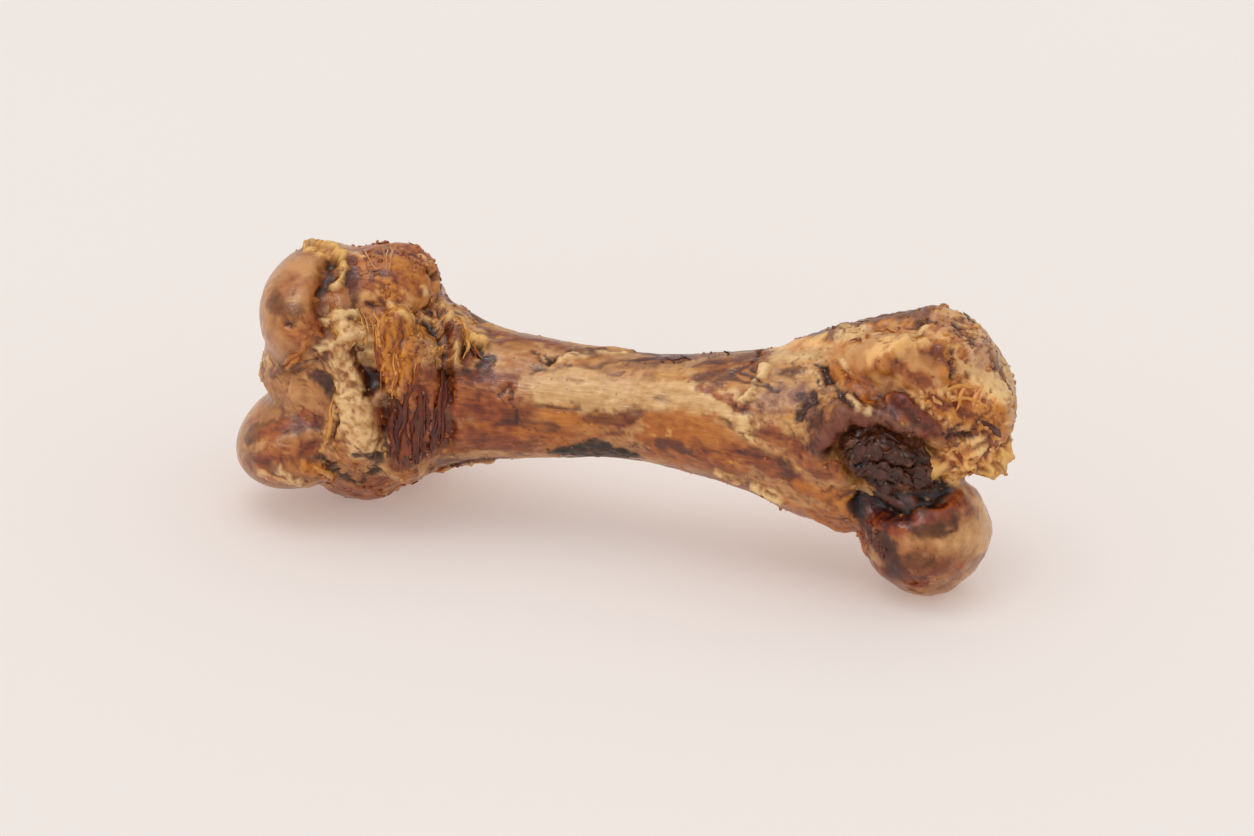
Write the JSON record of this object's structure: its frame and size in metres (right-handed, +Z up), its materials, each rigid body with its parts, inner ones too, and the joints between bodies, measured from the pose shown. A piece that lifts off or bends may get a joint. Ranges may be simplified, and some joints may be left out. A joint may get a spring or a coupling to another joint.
{
  "type": "cooked ham bone",
  "caption": "Cooked and dried thigh bone of a pig, lying on its side: two-lobed knee end, narrow shaft and hip ball, with gristle, tendon and a wad of meat left on it.",
  "frame": {"origin": "on the surface that the bone lies on, below the middle of its bounding box", "axes": "+X along the bone, from the knee end to the hip end; +Z up; the hollow by the hip ball faces -Y"},
  "size_m": [0.215, 0.065, 0.0746],
  "materials": {
    "bone": "cooked bone under dried skin of fat, tendon and gristle: cream and amber streaked with maroon, half gloss",
    "dried_meat": "dark brown dried meat, wrinkled and folded, with a greasy shine on the folds"
  },
  "bodies": {
    "root": {"thigh_bone": "bone", "meat_wad": "dried_meat"}
  },
  "joints": []
}
